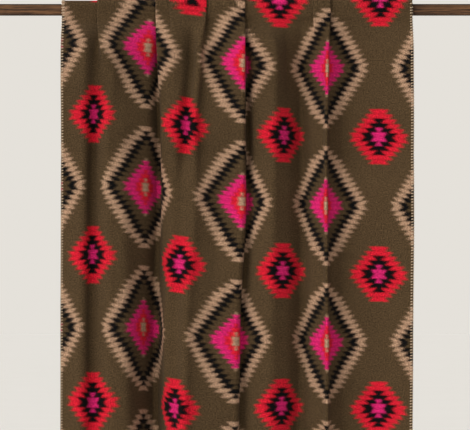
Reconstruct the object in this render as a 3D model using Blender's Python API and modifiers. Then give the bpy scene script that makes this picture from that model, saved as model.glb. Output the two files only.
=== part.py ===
"""A patterned wool throw hanging over a dark wooden rod.

The throw is one sheet of thick brushed wool. It goes over the rod in a low arch, with a
long fall in front and a short one behind. It hangs narrower than it was cut: the spare
width stands in flat tucks where the cloth crosses the rod, and the tucks open into soft
uneven folds on the way down.

Metres, +Z up. X runs along the rod, to the right as seen from the front, and the front
faces -Y. The origin is the middle of the rod's underside, where a bracket carries it.
"""

import math
from collections import namedtuple

import bmesh
import bpy
import numpy as np

# The rod, a plain batten with eased edges.
ROD_LENGTH = 1.440
ROD_DEPTH = 0.021
ROD_HEIGHT = 0.032
ROD_EASING = 0.002

# The throw as it was cut.
FLAT_WIDTH = 1.300
CLOTH = 0.0026

# The throw as it hangs. A drop is measured down from the rod's top.
HEM_DROP = 1.300
TAIL_DROP = 0.464

# The arch over the rod, to the middle of the cloth. It stands clear of the rod's edges,
# and the cloth comes to rest on the rod's faces, halfway down them.
ARCH_RADIUS = 0.0158
ARCH_DROP = 0.0072
ARCH_STEPS = 6
SEAT_GAP = 0.0003
EDGE_GAP = 0.0024
SEAT = ROD_DEPTH / 2 + SEAT_GAP + CLOTH / 2
PAST_EDGE = ROD_DEPTH / 2 + EDGE_GAP + CLOTH / 2

# The two falls. side is the way it faces along Y, and opening is how fast its tucks open
# with the drop: the short tail is light and stays tucked. valleys is how far from the
# rod's middle its deepest valley hangs, at each of its drops: the front fall swings back
# under the rod, and pushes the tail back. rows are the drops of the grid's rows.
Fall = namedtuple("Fall", "side opening drops valleys rows")
FRONT = Fall(
    side=-1,
    opening=1.0,
    drops=(ARCH_DROP, ROD_HEIGHT / 2, ROD_HEIGHT, 0.145, 0.500, HEM_DROP),
    valleys=(ARCH_RADIUS, SEAT, PAST_EDGE, -0.001, -0.020, -0.035),
    rows=(ROD_HEIGHT / 2, ROD_HEIGHT, 0.050, 0.070, 0.095, 0.125, 0.165, 0.220, 0.300,
          0.420, 0.560, 0.760, 0.930, 1.120, HEM_DROP),
)
BACK = Fall(
    side=1,
    opening=0.10,
    drops=(ARCH_DROP, ROD_HEIGHT / 2, ROD_HEIGHT, 0.145, TAIL_DROP),
    valleys=(ARCH_RADIUS, SEAT, PAST_EDGE, 0.019, 0.032),
    rows=(ROD_HEIGHT / 2, ROD_HEIGHT, 0.080, 0.170, 0.300, TAIL_DROP),
)

# The folds. A fold starts at a place across the flat cloth, from the left edge, and leans
# by an angle in degrees: 0 faces the front, plus goes back to the right, minus comes
# forward to the right. There is a column for each of these drops. softness scales the
# width of its crease.
LEVELS = (0.020, 0.145, 0.340, 0.540, 0.930, HEM_DROP)
Fold = namedtuple("Fold", "name start rod high upper middle low hem softness", defaults=(1.0,))
FOLDS = (
    Fold("left edge", 0.000, 0, -25, -20, -25, -30, -25),
    Fold("first valley, near side", 0.070, 0, 65, 65, 70, 65, 45),
    Fold("first valley, far side", 0.110, 0, 5, -55, -50, -45, -45),
    Fold("first crown", 0.172, 2, 40, 10, 0, 0, -5),
    Fold("second valley, slope", 0.218, 2, 24, 25, 40, 55, 65),
    Fold("second valley, foot", 0.298, 2, 56, 66, 64, 65, 50),
    Fold("second valley, bottom", 0.328, 2, 50, 62, 62, 60, 50),
    Fold("second valley, wall", 0.348, 6, -30, -95, -93, -78, -70),
    Fold("second valley, brow", 0.388, 1, -40, -34, -42, -80, -72),
    Fold("second valley, lip", 0.414, 1, 15, -15, -30, -85, -80),
    Fold("third valley, near side", 0.439, 1, 55, 55, 0, -10, -60),
    Fold("third valley, far side", 0.473, 1, -70, -60, -30, -60, -80),
    Fold("fourth ridge", 0.509, -2, 65, 65, 30, 35, 45),
    Fold("middle panel, near side", 0.536, -6, -10, -10, 15, 10, 5),
    Fold("middle panel, far side", 0.586, -5, -40, -5, -20, -10, 10),
    Fold("middle panel, lip", 0.622, 0, -40, -20, -20, -10, 10),
    Fold("fifth valley, wall", 0.662, 0, -45, 20, 82, 98, 80),
    Fold("fifth valley, bottom", 0.700, 0, -60, -40, -50, -45, -40),
    Fold("fifth valley, far side", 0.716, 0, -78, -76, -60, -42, -36),
    Fold("fifth valley, lip", 0.742, 0, -12, -22, -40, -18, -22),
    Fold("sixth valley, near side", 0.801, 0, 66, 50, 38, 30, 50),
    Fold("sixth valley, foot", 0.856, 0, 38, 54, 48, 50, 55),
    Fold("sixth valley, bottom", 0.910, 0, -38, -54, -60, -62, -45),
    Fold("last ridge, near side", 0.949, 0, -34, -42, -45, -42, -38),
    Fold("last ridge, near crest", 0.995, 0, -78, -81, -81, -78, -70),
    Fold("last ridge, far crest", 1.017, 0, 80, 82, 82, 79, 72, 0.4),
    Fold("last ridge, far side", 1.039, 0, 34, 38, 40, 40, 38),
    Fold("right panel", 1.092, 0, -12, -14, -14, -12, -14),
    Fold("right edge", 1.194, 0, -25, -20, -20, -25, -35),
)
# Where the cloth hangs along the rod, from the rod's middle: at its edges, at or near the
# middles of the pattern's columns, and right of its two deepest valleys. There is a place
# for each of the drops in LEVELS.
Line = namedtuple("Line", "name across rod high upper middle low hem")
LINES = (
    Line("left edge", 0.000, -0.490, -0.490, -0.491, -0.492, -0.493, -0.494),
    Line("first small diamonds", 0.110, -0.380, -0.398, -0.402, -0.406, -0.406, -0.404),
    Line("first large diamonds", 0.292, -0.244, -0.249, -0.253, -0.257, -0.263, -0.263),
    Line("second valley, brow", 0.388, -0.207, -0.206, -0.211, -0.208, -0.211, -0.213),
    Line("second small diamonds", 0.473, -0.123, -0.127, -0.144, -0.153, -0.169, -0.174),
    Line("second large diamonds", 0.640, 0.006, 0.006, 0.004, 0.001, -0.016, -0.018),
    Line("fifth valley, brow", 0.756, 0.043, 0.061, 0.061, 0.063, 0.054, 0.050),
    Line("third small diamonds", 0.836, 0.119, 0.129, 0.131, 0.128, 0.125, 0.122),
    Line("third large diamonds", 1.017, 0.258, 0.252, 0.249, 0.247, 0.250, 0.250),
    Line("last small diamonds", 1.198, 0.401, 0.398, 0.396, 0.395, 0.394, 0.394),
    Line("right edge", 1.300, 0.490, 0.491, 0.492, 0.491, 0.488, 0.486),
)
# The width of cloth over which one lean turns into the next, for the same drops.
Crease = namedtuple("Crease", "rod high upper middle low hem")
CREASES = Crease(0.012, 0.016, 0.018, 0.022, 0.026, 0.028)

# The tucks. The cloth turns back on itself at the start and again at the end of a tuck.
# Its front layer is the one to the right (-1) or to the left (1) of it, and it is open at a
# drop of its own.
Tuck = namedtuple("Tuck", "name start length front_layer open_drop")
TUCKS = (
    Tuck("first", 0.122, 0.025, -1, 0.220),
    Tuck("second", 0.338, 0.028, -1, 0.300),
    Tuck("third", 0.408, 0.013, -1, 0.090),
    Tuck("fourth", 0.511, 0.018, 1, 0.100),
    Tuck("fifth", 0.653, 0.055, 1, 0.600),
    Tuck("sixth", 0.952, 0.015, -1, 0.100),
    Tuck("seventh", 1.021, 0.016, 1, 0.120),
)
TUCK_TURN = 0.007
# Where the grid has columns: four to a turn of a tuck, and two to a crease, unless another
# column is this near.
TURN_COLUMNS = (-1 / 2, -1 / 6, 1 / 6, 1 / 2)
CREASE_COLUMNS = (-0.008, 0.008)
COLUMN_GAP = 0.006

WOOL_COLOUR = (0.069, 0.038, 0.016, 1.0)
WOOL_ROUGHNESS = 0.95
WOOD_COLOUR = (0.090, 0.048, 0.024, 1.0)
WOOD_ROUGHNESS = 0.6

# Stations across the flat cloth, for adding up its section.
STATION = 0.0005
STATIONS = np.linspace(0.0, FLAT_WIDTH, round(FLAT_WIDTH / STATION) + 1)


def eased(share):
    """A share from 0 to 1, with a soft start and end."""
    share = np.clip(share, 0.0, 1.0)
    return share * share * (3.0 - 2.0 * share)


def turned(place, width):
    """From 0 to 1 across a turn of this width in the flat cloth."""
    return np.clip((STATIONS - place) / width + 0.5, 0.0, 1.0)


def at_drop(rows, drop):
    """What a table says at a drop, for each of its rows."""
    level = int(np.clip(np.searchsorted(LEVELS, drop) - 1, 0, len(LEVELS) - 2))
    share = eased((drop - LEVELS[level]) / (LEVELS[level + 1] - LEVELS[level]))
    first = rows[0]._fields.index("rod") + level
    return [row[first] * (1 - share) + row[first + 1] * share for row in rows]


def lean(drop):
    """The lean of each station across the cloth, in radians."""
    crease = at_drop([CREASES], drop)[0]
    angles = at_drop(FOLDS, drop)
    leans = np.full_like(STATIONS, angles[0])
    for fold, before, after in zip(FOLDS[1:], angles, angles[1:]):
        leans += (after - before) * turned(fold.start, crease * fold.softness)
    for tuck in TUCKS:
        opened = np.clip((drop - LEVELS[0]) / (tuck.open_drop - LEVELS[0]), 0.0, 1.0)
        end = tuck.start + tuck.length
        over = turned(tuck.start, TUCK_TURN) - turned(end, TUCK_TURN)
        leans += tuck.front_layer * 180.0 * (1.0 - opened) * over
    return np.radians(leans)


def summed(rates):
    """The running sum of a rate over the stations."""
    return np.concatenate([[0.0], np.cumsum((rates[1:] + rates[:-1]) / 2) * STATION])


def section(drop):
    """Where each station is at a drop: its place along the rod, and how far it stands
    in front of the deepest valley."""
    leans = lean(drop)
    along = summed(np.cos(leans))
    forward = -summed(np.sin(leans))
    across = [line.across for line in LINES]
    astray = np.array(at_drop(LINES, drop)) - np.interp(across, STATIONS, along)
    return along + np.interp(STATIONS, across, astray), forward - forward.min()


def placed(across, along, y, z):
    """A row of points at the columns, from values at the stations."""
    stations = (along, y, z)
    return np.stack([np.interp(across, STATIONS, values) for values in stations], axis=1)


def arch_row(across, angle):
    """One row over the rod, at an angle from the crown: plus is behind."""
    along, forward = section(0.0)
    out = forward + ARCH_RADIUS
    y = out * math.sin(angle)
    z = ROD_HEIGHT - ARCH_DROP + out * math.cos(angle)
    return placed(across, along, y, z)


def fall_row(across, fall, drop):
    """One row of the front or the back fall."""
    along, forward = section(drop * fall.opening)
    out = forward + np.interp(drop, fall.drops, fall.valleys)
    return placed(across, along, fall.side * out, np.full_like(out, ROD_HEIGHT - drop))


def columns():
    """The places across the flat cloth where the grid has a column."""
    kept = [0.0, FLAT_WIDTH]
    for tuck in TUCKS:
        for turn in (tuck.start, tuck.start + tuck.length):
            kept += [turn + TUCK_TURN * share for share in TURN_COLUMNS]
    for fold in FOLDS[1:]:
        for place in (fold.start + aside for aside in CREASE_COLUMNS):
            if min(abs(place - other) for other in kept) > COLUMN_GAP:
                kept.append(place)
    return np.array(sorted(kept))


def throw_rows():
    """The rows of the sheet, from the tail's end behind, over the rod, to the hem."""
    across = columns()
    angles = np.linspace(math.pi / 2, -math.pi / 2, ARCH_STEPS + 1)
    rows = [fall_row(across, BACK, drop) for drop in reversed(BACK.rows)]
    rows += [arch_row(across, angle) for angle in angles]
    rows += [fall_row(across, FRONT, drop) for drop in FRONT.rows]
    return rows


def material(name, colour, roughness):
    made = bpy.data.materials.new(name)
    made.use_nodes = True
    shader = made.node_tree.nodes["Principled BSDF"]
    shader.inputs["Base Color"].default_value = colour
    shader.inputs["Roughness"].default_value = roughness
    shader.inputs["Metallic"].default_value = 0.0
    return made


def make_throw(collection):
    """The sheet, lofted through its rows and given its thickness on both sides."""
    rows = throw_rows()
    count = len(rows[0])
    points = [tuple(point) for line in rows for point in line]
    faces = []
    for line in range(len(rows) - 1):
        for column in range(count - 1):
            corner = line * count + column
            faces.append((corner, corner + count, corner + count + 1, corner + 1))
    mesh = bpy.data.meshes.new("throw")
    mesh.from_pydata(points, [], faces)
    mesh.shade_smooth()
    throw = bpy.data.objects.new("throw", mesh)
    collection.objects.link(throw)
    solidify = throw.modifiers.new("thickness", "SOLIDIFY")
    solidify.thickness = CLOTH
    solidify.offset = 0.0
    solidify.use_even_offset = True
    mesh.materials.append(material("brushed_wool", WOOL_COLOUR, WOOL_ROUGHNESS))
    return throw


def make_rod(collection):
    """A batten with eased edges, from a cube."""
    mesh = bpy.data.meshes.new("rod")
    shape = bmesh.new()
    bmesh.ops.create_cube(shape, size=1.0)
    bmesh.ops.scale(shape, vec=(ROD_LENGTH, ROD_DEPTH, ROD_HEIGHT), verts=shape.verts)
    shape.to_mesh(mesh)
    shape.free()
    rod = bpy.data.objects.new("rod", mesh)
    rod.location = (0.0, 0.0, ROD_HEIGHT / 2)
    collection.objects.link(rod)
    bevel = rod.modifiers.new("eased_edges", "BEVEL")
    bevel.width = ROD_EASING
    bevel.segments = 3
    mesh.materials.append(material("dark_wood", WOOD_COLOUR, WOOD_ROUGHNESS))
    return rod


def main():
    for old in list(bpy.data.objects):
        bpy.data.objects.remove(old, do_unlink=True)
    collection = bpy.data.collections.new("wool_throw_on_rod")
    bpy.context.scene.collection.children.link(collection)
    make_rod(collection)
    make_throw(collection)


main()
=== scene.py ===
"""The looks of a patterned wool throw that hangs over a dark wooden rod.

The throw is a fine sheet on the same folds as its CAD solid. Its pattern, its nap and its
weave are one material, drawn in the flat cloth's own metres. Its edges are whip-stitched in
light yarn. The rod keeps its CAD shape and gets a wood finish.

Metres, +Z up. X runs along the rod, and the front faces -Y. A drop is measured down from
the rod's top, and a place across is measured on the flat cloth from its left edge.
"""

import math
from collections import namedtuple

import bpy
import numpy as np
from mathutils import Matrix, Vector


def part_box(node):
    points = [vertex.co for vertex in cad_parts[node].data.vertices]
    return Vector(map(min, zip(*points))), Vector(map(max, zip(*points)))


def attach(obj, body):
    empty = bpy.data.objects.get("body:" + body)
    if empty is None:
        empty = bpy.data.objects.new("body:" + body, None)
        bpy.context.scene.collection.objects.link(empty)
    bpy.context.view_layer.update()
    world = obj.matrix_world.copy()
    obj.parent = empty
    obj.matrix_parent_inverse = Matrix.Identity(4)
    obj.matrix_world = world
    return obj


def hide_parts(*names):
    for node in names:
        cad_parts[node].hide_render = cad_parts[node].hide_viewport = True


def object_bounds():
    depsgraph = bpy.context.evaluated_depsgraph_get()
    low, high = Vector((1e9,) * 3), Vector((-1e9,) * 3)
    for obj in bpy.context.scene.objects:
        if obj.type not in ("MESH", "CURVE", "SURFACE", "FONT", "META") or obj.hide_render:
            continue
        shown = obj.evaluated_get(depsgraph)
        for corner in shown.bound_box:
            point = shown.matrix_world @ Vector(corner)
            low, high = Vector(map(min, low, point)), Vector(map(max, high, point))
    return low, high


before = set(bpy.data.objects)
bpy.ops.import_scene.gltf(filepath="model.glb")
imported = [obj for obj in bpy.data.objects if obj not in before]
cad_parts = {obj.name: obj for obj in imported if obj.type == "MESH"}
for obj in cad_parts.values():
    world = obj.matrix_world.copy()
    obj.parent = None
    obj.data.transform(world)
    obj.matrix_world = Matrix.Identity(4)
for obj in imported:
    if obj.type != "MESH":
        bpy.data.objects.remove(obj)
cad_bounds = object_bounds()

# The rod, from the frame.
rod_low, rod_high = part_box("rod")
ROD_HEIGHT = rod_high.z - rod_low.z
ROD_DEPTH = rod_high.y - rod_low.y

# The throw as it was cut, and as it hangs.
FLAT_WIDTH = 1.300
CLOTH = 0.0026
HEM_DROP = 1.300
TAIL_DROP = 0.464

# The arch over the rod, to the middle of the cloth, and how the cloth sits on the rod.
ARCH_RADIUS = 0.0158
ARCH_LENGTH = math.pi * ARCH_RADIUS
ARCH_DROP = 0.0072
SEAT_GAP = 0.0003
EDGE_GAP = 0.0024
SEAT = ROD_DEPTH / 2 + SEAT_GAP + CLOTH / 2
PAST_EDGE = ROD_DEPTH / 2 + EDGE_GAP + CLOTH / 2

# The two falls. side is the way it faces along Y, and opening is how fast its tucks open
# with the drop. valleys is how far from the rod's middle its deepest valley hangs, at each
# of its drops. step is the height of the sheet's rows.
Fall = namedtuple("Fall", "side opening end step drops valleys")
FRONT = Fall(-1, 1.0, HEM_DROP, 0.0104,
             (ARCH_DROP, ROD_HEIGHT / 2, ROD_HEIGHT, 0.145, 0.500, HEM_DROP),
             (ARCH_RADIUS, SEAT, PAST_EDGE, -0.001, -0.020, -0.035))
BACK = Fall(1, 0.10, TAIL_DROP, 0.0200,
            (ARCH_DROP, ROD_HEIGHT / 2, ROD_HEIGHT, 0.145, TAIL_DROP),
            (ARCH_RADIUS, SEAT, PAST_EDGE, 0.019, 0.032))
ARCH_STEPS = 12

# The folds. A fold starts at a place across, and leans by an angle in degrees: 0 faces the
# front, plus goes back to the right, minus comes forward to the right. There is a column
# for each of these drops. softness scales the width of its crease.
LEVELS = (0.020, 0.145, 0.340, 0.540, 0.930, HEM_DROP)
Fold = namedtuple("Fold", "name start rod high upper middle low hem softness", defaults=(1.0,))
FOLDS = (
    Fold("left edge", 0.000, 0, -25, -20, -25, -30, -25),
    Fold("first valley, near side", 0.070, 0, 65, 65, 70, 65, 45),
    Fold("first valley, far side", 0.110, 0, 5, -55, -50, -45, -45),
    Fold("first crown", 0.172, 2, 40, 10, 0, 0, -5),
    Fold("second valley, slope", 0.218, 2, 24, 25, 40, 55, 65),
    Fold("second valley, foot", 0.298, 2, 56, 66, 64, 65, 50),
    Fold("second valley, bottom", 0.328, 2, 50, 62, 62, 60, 50),
    Fold("second valley, wall", 0.348, 6, -30, -95, -93, -78, -70),
    Fold("second valley, brow", 0.388, 1, -40, -34, -42, -80, -72),
    Fold("second valley, lip", 0.414, 1, 15, -15, -30, -85, -80),
    Fold("third valley, near side", 0.439, 1, 55, 55, 0, -10, -60),
    Fold("third valley, far side", 0.473, 1, -70, -60, -30, -60, -80),
    Fold("fourth ridge", 0.509, -2, 65, 65, 30, 35, 45),
    Fold("middle panel, near side", 0.536, -6, -10, -10, 15, 10, 5),
    Fold("middle panel, far side", 0.586, -5, -40, -5, -20, -10, 10),
    Fold("middle panel, lip", 0.622, 0, -40, -20, -20, -10, 10),
    Fold("fifth valley, wall", 0.662, 0, -45, 20, 82, 98, 80),
    Fold("fifth valley, bottom", 0.700, 0, -60, -40, -50, -45, -40),
    Fold("fifth valley, far side", 0.716, 0, -78, -76, -60, -42, -36),
    Fold("fifth valley, lip", 0.742, 0, -12, -22, -40, -18, -22),
    Fold("sixth valley, near side", 0.801, 0, 66, 50, 38, 30, 50),
    Fold("sixth valley, foot", 0.856, 0, 38, 54, 48, 50, 55),
    Fold("sixth valley, bottom", 0.910, 0, -38, -54, -60, -62, -45),
    Fold("last ridge, near side", 0.949, 0, -34, -42, -45, -42, -38),
    Fold("last ridge, near crest", 0.995, 0, -78, -81, -81, -78, -70),
    Fold("last ridge, far crest", 1.017, 0, 80, 82, 82, 79, 72, 0.4),
    Fold("last ridge, far side", 1.039, 0, 34, 38, 40, 40, 38),
    Fold("right panel", 1.092, 0, -12, -14, -14, -12, -14),
    Fold("right edge", 1.194, 0, -25, -20, -20, -25, -35),
)
# Where the cloth hangs along the rod, from the rod's middle: at its edges, down the
# pattern's columns and at the brows of two valleys, clear of the tucks. There is a place for
# each of the drops in LEVELS.
Line = namedtuple("Line", "name across rod high upper middle low hem")
LINES = (
    Line("left edge", 0.000, -0.490, -0.490, -0.491, -0.492, -0.493, -0.494),
    Line("first small diamonds", 0.110, -0.380, -0.398, -0.402, -0.406, -0.406, -0.404),
    Line("first large diamonds", 0.292, -0.244, -0.249, -0.253, -0.257, -0.263, -0.263),
    Line("second valley, brow", 0.388, -0.207, -0.206, -0.211, -0.208, -0.211, -0.213),
    Line("second small diamonds", 0.473, -0.123, -0.127, -0.144, -0.153, -0.169, -0.174),
    Line("second large diamonds", 0.640, 0.006, 0.006, 0.004, 0.001, -0.016, -0.018),
    Line("fifth valley, brow", 0.756, 0.043, 0.061, 0.061, 0.063, 0.054, 0.050),
    Line("third small diamonds", 0.836, 0.119, 0.129, 0.131, 0.128, 0.125, 0.122),
    Line("third large diamonds", 1.017, 0.258, 0.252, 0.249, 0.247, 0.250, 0.250),
    Line("last small diamonds", 1.198, 0.401, 0.398, 0.396, 0.395, 0.394, 0.394),
    Line("right edge", 1.300, 0.490, 0.491, 0.492, 0.491, 0.488, 0.486),
)
# The width of cloth over which one lean turns into the next, for the same drops.
Crease = namedtuple("Crease", "rod high upper middle low hem")
CREASES = Crease(0.012, 0.016, 0.018, 0.022, 0.026, 0.028)

# The tucks. The cloth turns back on itself at the start and again at the end of a tuck.
# Its front layer is the one to the right (-1) or to the left (1) of it, and it is open at a
# drop of its own.
Tuck = namedtuple("Tuck", "name start length front_layer open_drop")
TUCKS = (
    Tuck("first", 0.122, 0.025, -1, 0.220),
    Tuck("second", 0.338, 0.028, -1, 0.300),
    Tuck("third", 0.408, 0.013, -1, 0.090),
    Tuck("fourth", 0.511, 0.018, 1, 0.100),
    Tuck("fifth", 0.653, 0.055, 1, 0.600),
    Tuck("sixth", 0.952, 0.015, -1, 0.100),
    Tuck("seventh", 1.021, 0.016, 1, 0.120),
)
TUCK_TURN = 0.007

# The sheet's columns are this far apart, and nearer where a tuck turns.
COLUMN = 0.0066
TURN_COLUMN = 0.0016
TURN_REACH = 0.0048

# The pattern. Large and small diamonds stand in turn across and down the cloth. A diamond
# is made of rows of one height, each ending in a slanted tooth. The figure in the middle of
# a large diamond has slightly lower rows.
HALF_REPEAT = 0.18135
REPEAT_DOWN = 0.3878
FIRST_LARGE_ACROSS = -0.0711
FIRST_LARGE_DOWN = 0.1251
LARGE_MIDDLE = (FIRST_LARGE_ACROSS, FIRST_LARGE_DOWN)
SMALL_MIDDLE = (FIRST_LARGE_ACROSS + HALF_REPEAT, FIRST_LARGE_DOWN + REPEAT_DOWN / 2)
TOOTH = 0.0130
INNER_TOOTH = 0.0122
# How far the weave runs askew: it sits this much higher than its drop, at these places
# across and at these drops.
SKEW_DROPS = (0.00, 0.33, 0.73, 0.93, 1.12, 1.33)
Skew = namedtuple("Skew", "across rod upper middle low lower hem")
SKEWS = (
    Skew(0.000, 0.014, 0.006, -0.001, -0.004, -0.014, -0.025),
    Skew(0.110, 0.015, 0.010, 0.006, -0.005, -0.022, -0.028),
    Skew(0.292, 0.002, 0.000, -0.001, -0.004, -0.014, -0.023),
    Skew(0.473, -0.024, -0.022, -0.021, -0.025, -0.035, -0.040),
    Skew(0.654, -0.045, -0.041, -0.040, -0.042, -0.046, -0.053),
    Skew(0.836, -0.060, -0.050, -0.039, -0.034, -0.028, -0.028),
    Skew(1.017, -0.057, -0.056, -0.050, -0.047, -0.046, -0.045),
    Skew(1.198, -0.054, -0.054, -0.049, -0.045, -0.035, -0.035),
    Skew(1.300, -0.056, -0.062, -0.056, -0.047, -0.042, -0.040),
)

# Yarn colours, as the wool itself is dyed.
GROUND = (0.064, 0.0405, 0.0200)
TAN = (0.345, 0.215, 0.140)
BLACK = (0.003, 0.003, 0.0035)
RED = (0.54, 0.011, 0.027)
PINK = (0.55, 0.015, 0.130)

# How soft the line is between two woven yarns, and at the ends of the brushed red and pink
# rows.
YARN_BLUR = 0.0034
BRUSHED_BLUR = 0.0085

# The serrated shapes. tip is how far the middle row's teeth reach from the middle line, and
# fall is how much less each next row's teeth reach. slant is how far a tooth slants in, and
# rows is how many rows there are each way, the middle one counted.
Teeth = namedtuple("Teeth", "tip fall slant rows blur", defaults=(YARN_BLUR,))
OUTLINE = Teeth(0.1486, 0.0081, 0.0135, 13)
INNER_OUTLINE = OUTLINE._replace(rows=12)
FIGURE = (
    (PINK, Teeth(0.0750, 0.0123, 0.0098, 6, BRUSHED_BLUR)),
    (RED, Teeth(0.0363, 0.0093, 0.0050, 4)),
    (TAN, Teeth(0.0135, 0.0085, 0.0040, 2)),
)
SMALL_OUTLINE = Teeth(0.0856, 0.0114, 0.0110, 6, BRUSHED_BLUR)
SMALL_FIGURE = (
    (BLACK, Teeth(0.0565, 0.0117, 0.0150, 4)),
    (PINK, Teeth(0.0230, 0.0118, 0.0095, 2)),
)

# The bands inside a large diamond's outline: how wide one is at the middle row, and how much
# wider in each next row, up to the blunt row. Past the blunt row the outline's teeth reach
# less by BLUNT_FALL more in each row. Past the closing row the tan band is narrower by
# CLOSING_FALL in each row.
Band = namedtuple("Band", "width growth")
TAN_BAND = Band(0.0215, 0.00125)
DARK_BAND = Band(0.0232, 0.0007)
BLUNT_ROW = 9.0
BLUNT_FALL = 0.0084
CLOSING_ROW = 10.0
CLOSING_FALL = 0.0060

# The light stitch past each end of the figure in a large diamond: its row, its reach from the
# middle line, its share of the row's height, and how strong it is.
END_ROW = 6.0
END_REACH = 0.0050
END_HEIGHT = 0.6
END_STRENGTH = 0.8

# How quickly the lines between the rows fade into them, and how dark they are.
LINE_POWER = 3.0
LINE_SHADE = 0.30

# The noises. scale is how fine one is, detail is how many finer layers it has, and
# roughness is how strong those are.
Grain = namedtuple("Grain", "scale detail roughness", defaults=(2.0, 0.5))

# The nap. A fibre strays across and down from its own yarn, and the weave drifts a little.
# The noise for the way down is mirrored, so that it differs from the other.
STRAY = Grain(780.0, 2.0, 0.8)
STRAY_DOWNWARD = Grain(830.0)
DRIFT = Grain(90.0)
STRAY_ACROSS = 0.0450
STRAY_DOWN = 0.0180
DRIFT_ACROSS = 0.0040
DRIFT_DOWN = 0.0012
MIRRORED = (1.0, -1.0, 1.0)

# The wool's mottling: how far its brightness follows each noise, and how dark it can get.
HEATHER = Grain(280.0, 4.0, 0.8)
STREAKS = Grain(300.0)
CLOUDS = Grain(14.0, 3.0)
STREAK_STRETCH = (1.0, 0.15, 1.0)
HEATHER_CONTRAST = 5.0
STREAK_CONTRAST = 0.6
CLOUD_CONTRAST = 0.25
DARKEST = 0.3

# The wool's relief: how high each part of it stands, and how far apart its ribs are.
HEATHER_RELIEF = 0.6
STREAK_RELIEF = 0.3
RIB_RELIEF = 0.12
RIB_PITCH = 0.0032

# The yarn of the stitches: how far its darkness follows each noise, and how much of it is
# left light.
YARN_LIGHT = (0.62, 0.49, 0.35)
YARN_DARK = (0.36, 0.25, 0.16)
FIBRES = Grain(900.0, 3.0, 0.7)
TONE = Grain(60.0)
FIBRE_CONTRAST = 0.8
TONE_CONTRAST = 0.4
YARN_LIGHTNESS = 0.15

# The rod's wood: a fine and a broad grain, how far its darkness follows each, and how dark it
# is in all. Then its pores: the level at which they start, and how sharp their sides are.
WOOD_LIGHT = (0.170, 0.080, 0.034)
WOOD_DARK = (0.034, 0.016, 0.008)
WOOD_PORE = (0.012, 0.006, 0.004)
# The colour of the painted shade on the rod's long top and bottom edges.
WOOD_EDGE_SHADE = (0.010, 0.006, 0.004)
FINE_GRAIN = Grain(260.0, 5.0, 0.65)
BROAD_GRAIN = Grain(70.0)
PORES = Grain(900.0)
GRAIN_STRETCH = (0.05, 1.0, 1.0)
PORE_STRETCH = (0.02, 1.0, 1.0)
FINE_CONTRAST = 3.4
BROAD_CONTRAST = 2.6
WOOD_DARKNESS = 0.42
PORE_LEVEL = 0.56
PORE_SHARPNESS = 9.0

# The painted shade along the rod's long top and bottom edges, which turn away from the light:
# how wide it is, the width over which it fades out, and how strong it is. Then its roughness,
# and the relief of its grain and pores.
EDGE_SHADE_WIDTH = 0.0036
EDGE_SHADE_FADE = 0.0016
EDGE_SHADE_STRENGTH = 0.85
LEAST_ROUGHNESS = 0.50
GRAIN_ROUGHNESS = 0.25
GRAIN_RELIEF = 0.7
PORE_RELIEF = 0.5

# The floor's finish: a faint mottling, down to this share of its colour.
MOTTLING = Grain(3.0)
MOTTLED = 0.97

# The whip stitches: their pitch, how deep they go in from the edge, how far they slant along
# it, and their yarn. YARN_LIFT is how far the yarn's middle lies off the cloth, in its radii.
STITCH_PITCH = 0.0079
STITCH_DEPTH = 0.0066
STITCH_SLANT = 0.0026
YARN_RADIUS = 0.0015
YARN_LIFT = 0.55
YARN_SIDES = 6
# A stitch's line, from the front of the cloth round its edge to the back. Each point is a
# share of the stitch's depth, out from its inner end, and a share of the height at which the
# yarn lies off the middle of the cloth.
STITCH_LINE = ((0.0, 0.25), (0.22, 0.9), (0.65, 1.05), (0.95, 0.95), (1.13, 0.0),
               (0.95, -0.95), (0.65, -1.05), (0.22, -0.9), (0.0, -0.25))
# How far to each side of a stitch the way along its edge is measured, and a nudge that keeps
# the yarn's sideways direction from vanishing.
ALONG_STEP = 0.002
NUDGE = 1e-6

# Stations across the flat cloth, for adding up its section.
STATION = 0.0005
STATIONS = np.linspace(0.0, FLAT_WIDTH, round(FLAT_WIDTH / STATION) + 1)

# The photograph's frame: its width in pixels, the size of a pixel at the cloth, and where its
# middle is along X and Z. Then the cloth's middle depth, and how far from it the camera is.
FRAME_PIXELS = 470
PIXEL = 0.00279
FRAME_MIDDLE = (-0.006, -0.559)
CLOTH_MIDDLE_Y = -0.055
CAMERA_DISTANCE = 12.0
SENSOR_MM = 36.0

# The light: a pale room, brighter on the left in front of the cloth and darker on the
# right, and a soft key from the front left. ROOM_TURN is how soon the room's slant sets in
# towards the front, and KEY_SOFTNESS is how wide the key's disc is, in degrees. KEY_ON_FLOOR
# is the share of the key that a level floor catches. The floor is as bright as the room
# behind it.
ROOM = (0.783, 0.753, 0.701)
ROOM_SLANT = 0.85
ROOM_TURN = 2.0
KEY_STRENGTH = 1.9
KEY_SOFTNESS = 55.0
KEY_DIRECTION = (0.66, 0.70, -0.32)
KEY_ON_FLOOR = 0.315
FLOOR_ALBEDO = 1.0 / (1.0 + KEY_STRENGTH * KEY_ON_FLOOR / math.pi / ROOM[0])

# The floor: how far it lies below the hem, and how far it reaches each way.
FLOOR_BELOW = 0.45
FLOOR_REACH = 30.0


def eased(share):
    """A share from 0 to 1, with a soft start and end."""
    share = np.clip(share, 0.0, 1.0)
    return share * share * (3.0 - 2.0 * share)


def turned(place, width):
    """From 0 to 1 across a turn of this width in the flat cloth."""
    return np.clip((STATIONS - place) / width + 0.5, 0.0, 1.0)


def at_drop(rows, drop):
    """What a table says at a drop, for each of its rows."""
    level = int(np.clip(np.searchsorted(LEVELS, drop) - 1, 0, len(LEVELS) - 2))
    share = eased((drop - LEVELS[level]) / (LEVELS[level + 1] - LEVELS[level]))
    first = rows[0]._fields.index("rod") + level
    return [row[first] * (1 - share) + row[first + 1] * share for row in rows]


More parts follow.
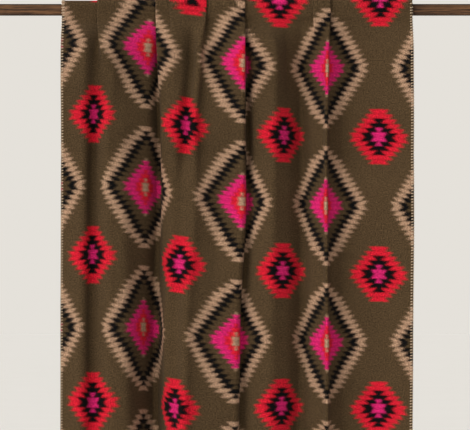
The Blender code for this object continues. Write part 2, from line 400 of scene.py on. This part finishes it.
def lean(drop):
    """The lean of each station across the cloth, in radians."""
    crease = at_drop([CREASES], drop)[0]
    angles = at_drop(FOLDS, drop)
    leans = np.full_like(STATIONS, angles[0])
    for fold, before, after in zip(FOLDS[1:], angles, angles[1:]):
        leans += (after - before) * turned(fold.start, crease * fold.softness)
    for tuck in TUCKS:
        opened = np.clip((drop - LEVELS[0]) / (tuck.open_drop - LEVELS[0]), 0.0, 1.0)
        end = tuck.start + tuck.length
        over = turned(tuck.start, TUCK_TURN) - turned(end, TUCK_TURN)
        leans += tuck.front_layer * 180.0 * (1.0 - opened) * over
    return np.radians(leans)


def summed(rates):
    """The running sum of a rate over the stations."""
    return np.concatenate([[0.0], np.cumsum((rates[1:] + rates[:-1]) / 2) * STATION])


def section(drop):
    """Where each station is at a drop: its place along the rod, and how far it stands
    in front of the deepest valley."""
    leans = lean(drop)
    along = summed(np.cos(leans))
    forward = -summed(np.sin(leans))
    across = [line.across for line in LINES]
    astray = np.array(at_drop(LINES, drop)) - np.interp(across, STATIONS, along)
    return along + np.interp(STATIONS, across, astray), forward - forward.min()


def placed(across, along, y, z):
    """A row of points at places across, from values at the stations."""
    return np.stack([np.interp(across, STATIONS, values) for values in (along, y, z)], axis=1)


def arch_row(across, angle):
    """One row over the rod, at an angle from the crown: plus is behind."""
    along, forward = section(0.0)
    out = forward + ARCH_RADIUS
    y = out * math.sin(angle)
    z = ROD_HEIGHT - ARCH_DROP + out * math.cos(angle)
    return placed(across, along, y, z)


def fall_row(across, fall, drop):
    """One row of the front or the back fall."""
    along, forward = section(drop * fall.opening)
    out = forward + np.interp(drop, fall.drops, fall.valleys)
    return placed(across, along, fall.side * out, np.full_like(out, ROD_HEIGHT - drop))


def row_at(across, length):
    """The row of points at this length of cloth from the front seat on the rod: the front
    fall is plus, and the arch and the back fall are minus."""
    if length >= 0:
        return fall_row(across, FRONT, ARCH_DROP + length)
    if length > -ARCH_LENGTH:
        return arch_row(across, -math.pi / 2 - length / ARCH_RADIUS)
    return fall_row(across, BACK, ARCH_DROP - ARCH_LENGTH - length)


def lengths():
    """The sheet's rows, from the tail to the hem, as lengths for row_at."""
    tail_count = round((BACK.end - ARCH_DROP) / BACK.step)
    front_count = round((FRONT.end - ARCH_DROP) / FRONT.step)
    tail = np.linspace(-ARCH_LENGTH - (BACK.end - ARCH_DROP), -ARCH_LENGTH, tail_count + 1)
    over = np.linspace(-ARCH_LENGTH, 0.0, ARCH_STEPS + 1)
    front = np.linspace(0.0, FRONT.end - ARCH_DROP, front_count + 1)
    return np.concatenate([tail, over[1:], front[1:]])


def columns():
    """The places across the flat cloth where the sheet has a column."""
    turns = [turn for tuck in TUCKS for turn in (tuck.start, tuck.start + tuck.length)]
    places = [0.0]
    while places[-1] < FLAT_WIDTH:
        near = min(abs(places[-1] + COLUMN / 2 - turn) for turn in turns)
        places.append(places[-1] + (TURN_COLUMN if near < TURN_REACH + COLUMN / 2 else COLUMN))
    places[-1] = FLAT_WIDTH
    return np.array(places)


def skewed(across, length):
    """How far down the pattern a point of the cloth is."""
    drop = max(length + ARCH_DROP, 0.0)
    places = [skew.across for skew in SKEWS]
    heights = [np.interp(drop, SKEW_DROPS, skew[1:]) for skew in SKEWS]
    return length + ARCH_DROP + np.interp(across, places, heights)


class Number:
    """A number in a material that differs from place to place. Arithmetic on it adds the
    Math nodes that work it out."""

    def __init__(self, socket):
        self.socket = socket
        self.tree = socket.id_data

    def made(self, operation, *others, clamp=False):
        node = self.tree.nodes.new("ShaderNodeMath")
        node.operation = operation
        node.use_clamp = clamp
        for slot, value in zip(node.inputs, (self, *others)):
            if isinstance(value, Number):
                self.tree.links.new(value.socket, slot)
            else:
                slot.default_value = value
        return Number(node.outputs[0])

    def __add__(self, other):
        return self.made("ADD", other)

    def __sub__(self, other):
        return self.made("SUBTRACT", other)

    def __mul__(self, other):
        return self.made("MULTIPLY", other)

    def __truediv__(self, other):
        return self.made("DIVIDE", other)

    def floor(self):
        return self.made("FLOOR")

    def fraction(self):
        return self.made("FRACT")

    def size(self):
        return self.made("ABSOLUTE")

    def under(self, limit):
        return self.made("LESS_THAN", limit)

    def clamped(self):
        return self.made("ADD", 0.0, clamp=True)

    def capped(self, limit):
        return self.made("MINIMUM", limit)

    def at_least(self, limit):
        return self.made("MAXIMUM", limit)


def noise_of(tree, vector, grain):
    """A noise texture's value, from 0 to 1."""
    node = tree.nodes.new("ShaderNodeTexNoise")
    node.inputs["Scale"].default_value = grain.scale
    node.inputs["Detail"].default_value = grain.detail
    node.inputs["Roughness"].default_value = grain.roughness
    tree.links.new(vector, node.inputs["Vector"])
    return Number(node.outputs["Fac"])


def stretched(tree, vector, scales):
    """A vector with each of its three parts scaled."""
    node = tree.nodes.new("ShaderNodeMapping")
    node.inputs["Scale"].default_value = scales
    tree.links.new(vector, node.inputs["Vector"])
    return node.outputs["Vector"]


def parts_of(tree, vector):
    """A vector's three parts, as the outputs X, Y and Z."""
    node = tree.nodes.new("ShaderNodeSeparateXYZ")
    tree.links.new(vector, node.inputs["Vector"])
    return node.outputs


def painted(tree, below, colour, mask):
    """The colour below, with a flat colour over it where the mask is 1."""
    node = tree.nodes.new("ShaderNodeMix")
    node.data_type = "RGBA"
    first, second = [slot for slot in node.inputs if slot.type == "RGBA"]
    tree.links.new(mask.socket, node.inputs["Factor"])
    if isinstance(below, bpy.types.NodeSocket):
        tree.links.new(below, first)
    else:
        first.default_value = (*below, 1.0)
    second.default_value = (*colour, 1.0)
    return next(slot for slot in node.outputs if slot.type == "RGBA")


def new_material(name):
    """A new material, with its tree and its shader."""
    made = bpy.data.materials.new(name)
    made.use_nodes = True
    return made, made.node_tree, made.node_tree.nodes["Principled BSDF"]


def bumped(tree, shader, height, distance, strength):
    """Gives the shader a bump from a height."""
    bump = tree.nodes.new("ShaderNodeBump")
    bump.inputs["Strength"].default_value = strength
    bump.inputs["Distance"].default_value = distance
    tree.links.new(height.socket, bump.inputs["Height"])
    tree.links.new(bump.outputs["Normal"], shader.inputs["Normal"])


# Where a point is among the diamonds: its distance from the nearest middle line of one, the
# number of its tooth row counted from the diamond's middle, and its place in that row, 1
# outermost.
Spot = namedtuple("Spot", "beside number place")


def spot_among(across, down, middle, tooth):
    """Where a point is among the diamonds, of which one has its middle here."""
    from_column = ((across - middle[0]) / (2 * HALF_REPEAT) + 0.5).fraction() - 0.5
    from_row = ((down - middle[1]) / REPEAT_DOWN + 0.5).fraction() - 0.5
    rows = from_row.size() * (REPEAT_DOWN / tooth)
    number = rows.floor()
    return Spot(from_column.size() * (2 * HALF_REPEAT), number, rows - number)


def moved_out(spot, width):
    """The spot, seen by a shape that is narrower by this width on each side."""
    return spot._replace(beside=spot.beside + width)


def toothed(spot, teeth):
    """1 inside a serrated shape, and 0 outside."""
    reach = spot.number * -teeth.fall + teeth.tip
    reach = reach + (spot.place - 1.0) * teeth.slant
    inside = ((reach - spot.beside) / teeth.blur + 0.5).clamped()
    return inside * spot.number.under(teeth.rows - 0.5)


def past(spot, row):
    """How many rows a spot is past a row, or 0."""
    return (spot.number - row).at_least(0.0)


def width_of(band, spot):
    """How wide a band is in the spot's row."""
    return spot.number.capped(BLUNT_ROW) * band.growth + band.width


def between_rows(inside, spot):
    """1 on the lines between the rows of a diamond, and 0 in their middles."""
    return inside * ((spot.place - 0.5).size() * 2.0).made("POWER", LINE_POWER)


def large_diamonds(tree, across, down, colour):
    """The colour with the large diamonds over it, and the lines between their rows."""
    spot = spot_among(across, down, LARGE_MIDDLE, TOOTH)
    outline = moved_out(spot, past(spot, BLUNT_ROW) * BLUNT_FALL)
    inside = toothed(outline, OUTLINE)
    tan_width = width_of(TAN_BAND, spot) - past(spot, CLOSING_ROW) * CLOSING_FALL
    inner = moved_out(outline, tan_width)
    inmost = moved_out(inner, width_of(DARK_BAND, spot))
    colour = painted(tree, colour, TAN, inside)
    colour = painted(tree, colour, BLACK, toothed(inner, INNER_OUTLINE))
    colour = painted(tree, colour, GROUND, toothed(inmost, INNER_OUTLINE))
    figure = spot_among(across, down, LARGE_MIDDLE, INNER_TOOTH)
    for dye, teeth in FIGURE:
        colour = painted(tree, colour, dye, toothed(figure, teeth))
    end = figure.number.made("COMPARE", END_ROW, 0.5) * figure.beside.under(END_REACH)
    colour = painted(tree, colour, TAN, end * figure.place.under(END_HEIGHT) * END_STRENGTH)
    return colour, between_rows(inside, spot)


def small_diamonds(tree, across, down, colour):
    """The colour with the small diamonds over it, and the lines between their rows."""
    spot = spot_among(across, down, SMALL_MIDDLE, TOOTH)
    inside = toothed(spot, SMALL_OUTLINE)
    colour = painted(tree, colour, RED, inside)
    for dye, teeth in SMALL_FIGURE:
        colour = painted(tree, colour, dye, toothed(spot, teeth))
    return colour, between_rows(inside, spot)


def wool_material():
    """Brushed wool with a woven pattern, in the metres of the UV map named flat."""
    made, tree, shader = new_material("brushed_wool_look")
    flat_map = tree.nodes.new("ShaderNodeUVMap")
    flat_map.uv_map = "flat"
    flat = flat_map.outputs["UV"]
    parts = parts_of(tree, flat)
    stray = noise_of(tree, flat, STRAY) - 0.5
    stray_down = noise_of(tree, stretched(tree, flat, MIRRORED), STRAY_DOWNWARD) - 0.5
    drift = noise_of(tree, flat, DRIFT) - 0.5
    across = Number(parts["X"]) + (stray * STRAY_ACROSS + drift * DRIFT_ACROSS)
    down = Number(parts["Y"]) + (stray_down * STRAY_DOWN + drift * DRIFT_DOWN)
    colour, large_lines = large_diamonds(tree, across, down, GROUND)
    colour, small_lines = small_diamonds(tree, across, down, colour)

    heather = noise_of(tree, flat, HEATHER)
    streaks = noise_of(tree, stretched(tree, flat, STREAK_STRETCH), STREAKS)
    clouds = noise_of(tree, flat, CLOUDS)
    bright = (heather - 0.5) * HEATHER_CONTRAST + (streaks - 0.5) * STREAK_CONTRAST
    bright = (bright + (clouds - 0.5) * CLOUD_CONTRAST + 1.0).at_least(DARKEST)
    bright = bright * ((large_lines + small_lines) * -LINE_SHADE + 1.0)
    scaled = tree.nodes.new("ShaderNodeVectorMath")
    scaled.operation = "SCALE"
    tree.links.new(colour, scaled.inputs[0])
    tree.links.new(bright.socket, scaled.inputs["Scale"])
    tree.links.new(scaled.outputs["Vector"], shader.inputs["Base Color"])

    shader.inputs["Roughness"].default_value = 0.95
    shader.inputs["Specular IOR Level"].default_value = 0.04
    shader.inputs["Sheen Weight"].default_value = 0.03
    shader.inputs["Sheen Roughness"].default_value = 0.6
    shader.inputs["Sheen Tint"].default_value = (0.85, 0.75, 0.65, 1.0)
    rib = (Number(parts["Y"]) * (2 * math.pi / RIB_PITCH)).made("SINE")
    height = heather * HEATHER_RELIEF + streaks * STREAK_RELIEF + rib * RIB_RELIEF
    bumped(tree, shader, height, distance=0.0012, strength=0.55)
    return made


def yarn_material():
    """The light twisted yarn of the edge stitches."""
    made, tree, shader = new_material("stitch_yarn_look")
    place = tree.nodes.new("ShaderNodeTexCoord").outputs["Object"]
    fibre = noise_of(tree, place, FIBRES)
    tone = noise_of(tree, place, TONE)
    dark = (fibre * FIBRE_CONTRAST + tone * TONE_CONTRAST - YARN_LIGHTNESS).clamped()
    tree.links.new(painted(tree, YARN_LIGHT, YARN_DARK, dark), shader.inputs["Base Color"])
    shader.inputs["Roughness"].default_value = 0.9
    shader.inputs["Sheen Weight"].default_value = 0.15
    bumped(tree, shader, fibre, distance=0.0006, strength=0.6)
    return made


def wood_material():
    """Dark stained wood with an open grain along the rod, and painted shade on its long edges."""
    made, tree, shader = new_material("dark_wood_look")
    place = tree.nodes.new("ShaderNodeTexCoord").outputs["Object"]
    along = stretched(tree, place, GRAIN_STRETCH)
    grain = noise_of(tree, along, FINE_GRAIN)
    broad = noise_of(tree, along, BROAD_GRAIN)
    pores = noise_of(tree, stretched(tree, place, PORE_STRETCH), PORES)
    dark = (grain - 0.5) * FINE_CONTRAST + (broad - 0.5) * BROAD_CONTRAST + WOOD_DARKNESS
    colour = painted(tree, WOOD_LIGHT, WOOD_DARK, dark.clamped())
    in_pore = ((pores - PORE_LEVEL) * PORE_SHARPNESS).clamped()
    colour = painted(tree, colour, WOOD_PORE, in_pore)
    # Painted shade: the rod's top and bottom edges are darkened, as they turn away from the light.
    from_middle = (Number(parts_of(tree, place)["Z"]) - ROD_HEIGHT / 2).size()
    in_edge_shade = ((from_middle - ROD_HEIGHT / 2 + EDGE_SHADE_WIDTH) / EDGE_SHADE_FADE).clamped()
    colour = painted(tree, colour, WOOD_EDGE_SHADE, in_edge_shade * EDGE_SHADE_STRENGTH)
    tree.links.new(colour, shader.inputs["Base Color"])
    shader.inputs["Specular IOR Level"].default_value = 0.2
    rough = grain * GRAIN_ROUGHNESS + LEAST_ROUGHNESS
    tree.links.new(rough.socket, shader.inputs["Roughness"])
    height = grain * GRAIN_RELIEF - pores * PORE_RELIEF
    bumped(tree, shader, height, distance=0.0008, strength=0.5)
    return made


def floor_material():
    """A pale matt floor with a faint mottling."""
    made, tree, shader = new_material("pale_floor")
    place = tree.nodes.new("ShaderNodeTexCoord").outputs["Object"]
    mottling = noise_of(tree, place, MOTTLING)
    tint = painted(tree, [FLOOR_ALBEDO] * 3, [FLOOR_ALBEDO * MOTTLED] * 3, mottling)
    tree.links.new(tint, shader.inputs["Base Color"])
    shader.inputs["Roughness"].default_value = 0.9
    return made


def link(name, mesh, look):
    """A new object of this mesh, smooth, in the scene."""
    mesh.materials.append(look)
    mesh.shade_smooth()
    made = bpy.data.objects.new(name, mesh)
    bpy.context.scene.collection.objects.link(made)
    return made


def make_throw():
    """The sheet, lofted through its rows and given its thickness."""
    across = columns()
    down = lengths()
    rows = np.array([row_at(across, length) for length in down])
    count = len(across)
    corner = (np.arange(len(down) - 1)[:, None] * count + np.arange(count - 1)).ravel()
    faces = np.stack([corner, corner + count, corner + count + 1, corner + 1], axis=1)
    mesh = bpy.data.meshes.new("throw_sheet")
    mesh.from_pydata(rows.reshape(-1, 3).tolist(), [], faces.tolist())
    flat = np.array([np.stack([across, skewed(across, length)], axis=1) for length in down])
    layer = mesh.uv_layers.new(name="flat")
    corners = np.empty(len(mesh.loops), np.int32)
    mesh.loops.foreach_get("vertex_index", corners)
    layer.uv.foreach_set("vector", flat.reshape(-1, 2)[corners].astype(np.float32).ravel())
    throw = link("wool_throw", mesh, wool_material())
    solidify = throw.modifiers.new("thickness", "SOLIDIFY")
    solidify.thickness = CLOTH
    solidify.offset = 0.0
    solidify.use_even_offset = True
    return throw


def edge_stitches():
    """For each stitch: the cloth's middle at the stitch's depth and at the edge, and the way
    along the edge."""
    stitches = []
    inset = np.array([0.0, STITCH_DEPTH, FLAT_WIDTH - STITCH_DEPTH, FLAT_WIDTH])
    ends = lengths()[[0, -1]]
    count = round((ends[1] - ends[0]) / STITCH_PITCH)
    for length in np.linspace(ends[0] + STITCH_PITCH / 2, ends[1] - STITCH_PITCH / 2, count):
        here = row_at(inset, length)
        along = row_at(inset, length + ALONG_STEP) - row_at(inset, length - ALONG_STEP)
        stitches.append((here[1], here[0], along[0]))
        stitches.append((here[2], here[3], -along[3]))
    places = np.linspace(STITCH_PITCH / 2, FLAT_WIDTH - STITCH_PITCH / 2,
                         round(FLAT_WIDTH / STITCH_PITCH))
    for end, inward in ((ends[0], 1), (ends[1], -1)):
        edge = row_at(places, end)
        inner = row_at(places, end + inward * STITCH_DEPTH)
        along = row_at(places + ALONG_STEP, end) - row_at(places - ALONG_STEP, end)
        stitches.extend(zip(inner, edge, -inward * along))
    return stitches


def stitch_path(inner, edge, along):
    """The yarn's line round the edge, from the front of the cloth to its back."""
    depth = np.linalg.norm(edge - inner)
    out = (edge - inner) / depth
    along = along / np.linalg.norm(along)
    normal = np.cross(out, along)
    clear = CLOTH / 2 + YARN_RADIUS * YARN_LIFT
    steps = np.linspace(-0.5, 0.5, len(STITCH_LINE))
    return np.array([inner + out * depth * far + normal * clear * high + along * STITCH_SLANT * step
                     for (far, high), step in zip(STITCH_LINE, steps)])


def yarn_rings(path):
    """The rings of points round a stitch's yarn, along its path."""
    ahead = np.gradient(path, axis=0)
    ahead /= np.linalg.norm(ahead, axis=1)[:, None]
    side = np.cross(ahead, path[len(path) // 2] - path[0] + NUDGE)
    side /= np.linalg.norm(side, axis=1)[:, None]
    up = np.cross(side, ahead)
    angles = np.linspace(0, 2 * math.pi, YARN_SIDES, endpoint=False)
    rings = [side[:, None] * math.cos(a) + up[:, None] * math.sin(a) for a in angles]
    return path[:, None] + YARN_RADIUS * np.concatenate(rings, axis=1)


def make_stitches():
    """All the whip stitches, as one mesh."""
    points, faces = [], []
    for stitch in edge_stitches():
        rings = yarn_rings(stitch_path(*stitch))
        start = len(points)
        points.extend(rings.reshape(-1, 3).tolist())
        for ring in range(len(rings) - 1):
            for side in range(YARN_SIDES):
                a = start + ring * YARN_SIDES + side
                b = start + ring * YARN_SIDES + (side + 1) % YARN_SIDES
                faces.append((a, b, b + YARN_SIDES, a + YARN_SIDES))
        last = start + (len(rings) - 1) * YARN_SIDES
        faces.append(tuple(range(start + YARN_SIDES - 1, start - 1, -1)))
        faces.append(tuple(range(last, last + YARN_SIDES)))
    mesh = bpy.data.meshes.new("edge_stitches")
    mesh.from_pydata(points, [], faces)
    return link("edge_stitches", mesh, yarn_material())


def make_stage():
    """A plain pale floor."""
    low = cad_bounds[0].z - FLOOR_BELOW
    signs = ((-1, -1), (1, -1), (1, 1), (-1, 1))
    mesh = bpy.data.meshes.new("floor")
    mesh.from_pydata([(x * FLOOR_REACH, y * FLOOR_REACH, low) for x, y in signs], [], [(0, 1, 2, 3)])
    floor = link("floor", mesh, floor_material())


def make_lights():
    """Soft studio light: a pale room, and a soft key from the front left."""
    world = bpy.data.worlds.new("pale_room")
    bpy.context.scene.world = world
    world.use_nodes = True
    tree = world.node_tree
    background = tree.nodes["Background"]
    background.inputs["Color"].default_value = (*ROOM, 1.0)
    parts = parts_of(tree, tree.nodes.new("ShaderNodeTexCoord").outputs["Generated"])
    front = (Number(parts["Y"]) * -ROOM_TURN).clamped()
    strength = front * Number(parts["X"]) * -ROOM_SLANT + 1.0
    tree.links.new(strength.socket, background.inputs["Strength"])
    data = bpy.data.lights.new("key", "SUN")
    data.energy = KEY_STRENGTH
    data.angle = math.radians(KEY_SOFTNESS)
    data.color = [part / ROOM[0] for part in ROOM]
    key = bpy.data.objects.new("key", data)
    key.rotation_mode = "QUATERNION"
    key.rotation_quaternion = Vector(KEY_DIRECTION).to_track_quat("-Z", "Y")
    bpy.context.scene.collection.objects.link(key)


def make_camera():
    """The photograph's view, straight at the cloth, from the scale at its middle depth."""
    data = bpy.data.cameras.new("camera")
    data.sensor_width = SENSOR_MM
    data.lens = SENSOR_MM * CAMERA_DISTANCE / (FRAME_PIXELS * PIXEL)
    camera = bpy.data.objects.new("camera", data)
    camera.location = (FRAME_MIDDLE[0], CLOTH_MIDDLE_Y - CAMERA_DISTANCE, FRAME_MIDDLE[1])
    camera.rotation_euler = (math.pi / 2, 0.0, 0.0)
    bpy.context.scene.collection.objects.link(camera)
    bpy.context.scene.camera = camera


def main():
    bpy.context.scene.view_settings.view_transform = "Standard"
    make_camera()
    make_lights()
    make_stage()
    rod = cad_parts["rod"]
    wood = wood_material()
    for place in rod.material_slots:
        place.material = wood
    throw = make_throw()
    stitches = make_stitches()
    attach(throw, "root")
    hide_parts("throw")
    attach(stitches, "root")


main()
